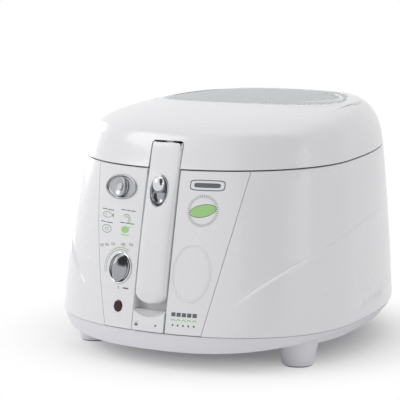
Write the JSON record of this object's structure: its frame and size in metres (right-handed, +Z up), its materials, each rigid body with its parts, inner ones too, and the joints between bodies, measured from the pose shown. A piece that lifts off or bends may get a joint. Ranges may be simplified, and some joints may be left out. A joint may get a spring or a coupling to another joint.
{
  "type": "deep fryer",
  "caption": "Round-shouldered household deep fryer with a sloping front, a folding basket handle, two knobs, a hinged lid and a tilted turning basket in its bowl.",
  "frame": {"origin": "middle of the footprint, on the surface the feet stand on", "axes": "+Z up; the front with the handle and knobs looks along -Y; +X is to the right as seen from the front"},
  "size_m": [0.286, 0.3498, 0.2307],
  "materials": {
    "white_plastic": "glossy",
    "grey_plastic": "satin",
    "foot_plastic": "satin",
    "silver_plastic": "metallic paint",
    "chrome": "polished",
    "steel": "brushed",
    "dark_coating": "non-stick coating",
    "rubber": "matte",
    "seal_rubber": "matte",
    "red_lens": "clear tinted",
    "charcoal": "felt",
    "inner_plastic": "moulded",
    "black_plastic": "moulded",
    "brass": "machined"
  },
  "bodies": {
    "body": {"body_shell": "white_plastic", "control_fascia": "white_plastic", "timer_bezel": "silver_plastic", "timer_unit": "black_plastic", "thermostat_bezel": "chrome", "thermostat_unit": "black_plastic", "indicator_lens": "red_lens", "indicator_lamp_holder": "inner_plastic", "hose_compartment": "inner_plastic", "drain_hose": "seal_rubber", "base_tray": "grey_plastic", "base_screw_left": "steel", "base_screw_right": "steel", "foot_front_left": "foot_plastic", "foot_front_right": "foot_plastic", "foot_rear_left": "foot_plastic", "foot_rear_right": "foot_plastic", "cord_inlet_bush": "rubber", "bowl": "dark_coating", "heating_element": "steel", "thermal_cutout": "black_plastic", "thermostat_bulb": "brass", "tower_bush": "brass", "basket_motor": "steel", "motor_bracket": "steel", "handle_bracket": "steel", "handle_pin": "steel", "lift_arm_pin": "steel", "latch_pin": "steel", "hinge_bracket_left": "steel", "hinge_bracket_right": "steel", "hinge_pin_left": "steel", "hinge_pin_right": "steel"},
    "lid": {"lid_shell": "white_plastic", "lid_liner": "steel", "lid_gasket": "seal_rubber", "liner_screw_left": "steel", "liner_screw_right": "steel", "filter_pad": "charcoal", "lid_catch": "inner_plastic"},
    "filter_cover": {"filter_cover": "white_plastic"},
    "handle": {"handle_shell": "white_plastic", "handle_core": "inner_plastic", "slider_cup": "chrome"},
    "slider": {"handle_slider": "chrome"},
    "lift_arm": {"lift_arm": "steel"},
    "carrier": {"basket_carrier": "steel"},
    "basket": {"basket": "steel", "basket_clip": "steel"},
    "drive": {"drive_shaft": "steel", "drive_wheel": "inner_plastic"},
    "pinion": {"motor_pinion": "brass"},
    "timer": {"timer_knob": "silver_plastic", "timer_shaft": "steel"},
    "thermostat": {"thermostat_knob": "silver_plastic", "thermostat_shaft": "steel"},
    "release_button": {"lid_release_button": "white_plastic"},
    "latch": {"latch_lever": "inner_plastic"},
    "drain_door": {"drain_compartment_door": "white_plastic"},
    "hose_cap": {"drain_hose_cap": "rubber"}
  },
  "joints": [
    {"name": "lid_hinge", "type": "hinge", "parent": "body", "child": "lid", "pos_m": [0, 0.157, 0.197], "axis": [-1, 0, 0], "range_deg": [0, 75]},
    {"name": "filter_cover_lift", "type": "slide", "parent": "lid", "child": "filter_cover", "axis": [0, -0.036, 0.9994], "range_m": [0, 0.015]},
    {"name": "handle_fold", "type": "hinge", "parent": "body", "child": "handle", "pos_m": [0, -0.136, 0.19151], "axis": [-1, 0, 0], "range_deg": [0, 90]},
    {"name": "slider_slide", "type": "slide", "parent": "handle", "child": "slider", "axis": [0, -0.2076, -0.9782], "range_m": [0, 0.007], "stiffness_N_per_m": 120},
    {"name": "lift_arm_turn", "type": "hinge", "parent": "body", "child": "lift_arm", "pos_m": [0, -0.111, 0.18301], "axis": [1, 0, 0], "range_deg": [0, 45]},
    {"name": "basket_lift", "type": "slide", "parent": "body", "child": "carrier", "axis": [0, -0.2079, 0.9781], "range_m": [0, 0.0254]},
    {"name": "basket_spin", "type": "hinge", "parent": "carrier", "child": "basket", "pos_m": [0, 0.02962, 0.07576], "axis": [0, -0.2079, 0.9781], "continuous": true},
    {"name": "shaft_spin", "type": "hinge", "parent": "body", "child": "drive", "pos_m": [0, 0.02962, 0.07576], "axis": [0, -0.2079, 0.9781], "continuous": true},
    {"name": "pinion_spin", "type": "hinge", "parent": "body", "child": "pinion", "pos_m": [0, 0.05897, 0.082], "axis": [0, -0.2079, 0.9781], "continuous": true},
    {"name": "timer_turn", "type": "hinge", "parent": "body", "child": "timer", "pos_m": [-0.046, -0.14352, 0.1555], "axis": [0.2459, 0.942, -0.2282], "range_deg": [0, 300]},
    {"name": "thermostat_turn", "type": "hinge", "parent": "body", "child": "thermostat", "pos_m": [-0.037, -0.16124, 0.086], "axis": [0.1705, 0.9641, -0.2038], "range_deg": [0, 270]},
    {"name": "release_press", "type": "slide", "parent": "body", "child": "release_button", "axis": [0, 0.9782, -0.2076], "range_m": [0, 0.0025], "stiffness_N_per_m": 200},
    {"name": "latch_turn", "type": "hinge", "parent": "body", "child": "latch", "pos_m": [0, -0.1394, 0.10795], "axis": [1, 0, 0], "range_deg": [0, 2]},
    {"name": "door_pull", "type": "slide", "parent": "body", "child": "drain_door", "axis": [0, -1, 0], "range_m": [0, 0.025]},
    {"name": "hose_cap_pull", "type": "slide", "parent": "body", "child": "hose_cap", "axis": [0, 0.2076, 0.9782], "range_m": [0, 0.015]}
  ],
  "couplings": [
    {"joint": "lift_arm_turn", "follows": "handle_fold", "ratio": 0.5},
    {"joint": "basket_lift", "follows": "handle_fold", "m_per_rad": 0.01615},
    {"joint": "pinion_spin", "follows": "shaft_spin", "ratio": -4},
    {"joint": "basket_spin", "follows": "shaft_spin", "ratio": 1},
    {"joint": "latch_turn", "follows": "release_press", "rad_per_m": 13.8}
  ]
}
